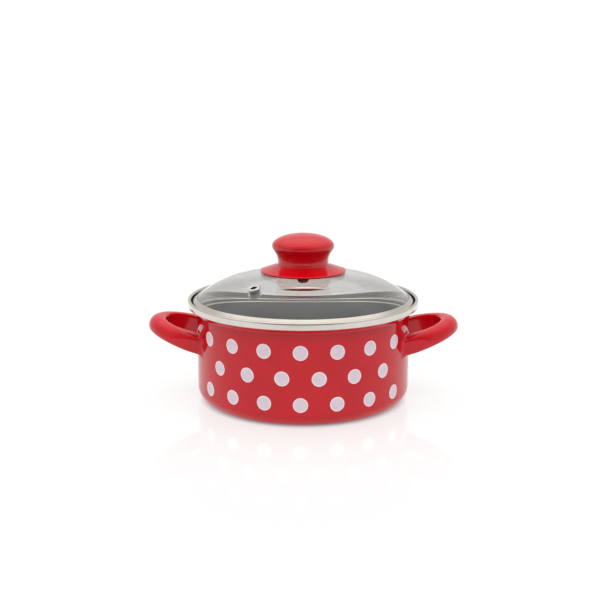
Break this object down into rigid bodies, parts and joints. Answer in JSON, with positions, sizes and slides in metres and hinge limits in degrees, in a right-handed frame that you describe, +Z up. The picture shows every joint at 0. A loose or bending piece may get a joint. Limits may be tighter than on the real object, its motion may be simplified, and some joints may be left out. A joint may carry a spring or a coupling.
{
  "type": "casserole pot with glass lid",
  "caption": "Low round enamelled steel pot with loop handles, a stainless rim and a domed glass lid with a steam vent and a moulded knob, for cooking on a hob.",
  "frame": {"origin": "on the table under the middle of the pot, where the axis of pot and lid meets the plane that the base ring stands on", "axes": "+Z up along the axis of pot and lid, +X along the line of the handles towards the right one, -Y towards the front, with the vent to the left of it"},
  "size_m": [0.234, 0.1732, 0.1248],
  "materials": {
    "red_enamel": "glossy vitreous enamel",
    "stainless": "bright rolled stainless steel",
    "glass": "clear tempered glass",
    "phenolic": "glossy moulded phenolic",
    "silicone": "matt silicone",
    "brass": "turned"
  },
  "bodies": {
    "pot": {"pot_shell": "red_enamel", "pot_rim_band": "stainless", "handle_left": "red_enamel", "handle_right": "red_enamel"},
    "lid": {"lid_glass": "glass", "lid_rim_band": "stainless", "vent_eyelet": "stainless", "vent_grommet": "silicone", "vent_washer": "stainless", "knob": "phenolic", "knob_insert": "brass", "knob_pad": "silicone", "screw_bush": "silicone", "screw_washer": "stainless", "knob_screw": "stainless"}
  },
  "joints": [
    {"name": "lid_lift", "type": "slide", "parent": "pot", "child": "lid", "axis": [0, 0, 1], "range_m": [0, 0.15]}
  ]
}
